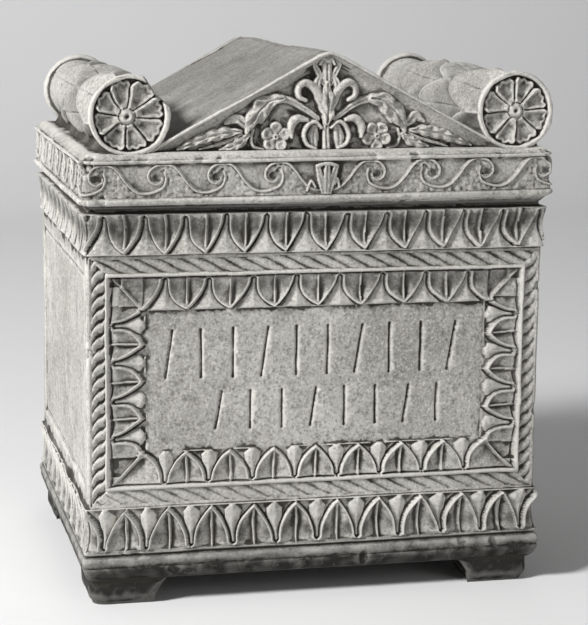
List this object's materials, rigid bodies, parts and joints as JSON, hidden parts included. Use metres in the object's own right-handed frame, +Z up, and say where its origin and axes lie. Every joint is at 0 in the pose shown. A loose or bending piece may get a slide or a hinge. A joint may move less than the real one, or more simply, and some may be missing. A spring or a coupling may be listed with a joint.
{
  "type": "marble cinerary chest",
  "caption": "Rectangular marble cinerary chest, hollow, on corner feet, with carved mouldings, a framed field and a gabled lid with bolsters.",
  "frame": {"origin": "on the ground, under the middle of the chest", "axes": "+Z up, -Y out of the carved front, +X to the right of someone facing the front"},
  "size_m": [0.393, 0.34, 0.4503],
  "materials": {
    "chest": "weathered marble, matt",
    "lid": "weathered marble, matt"
  },
  "bodies": {
    "root": {"chest": "chest", "lid": "lid"}
  },
  "joints": []
}
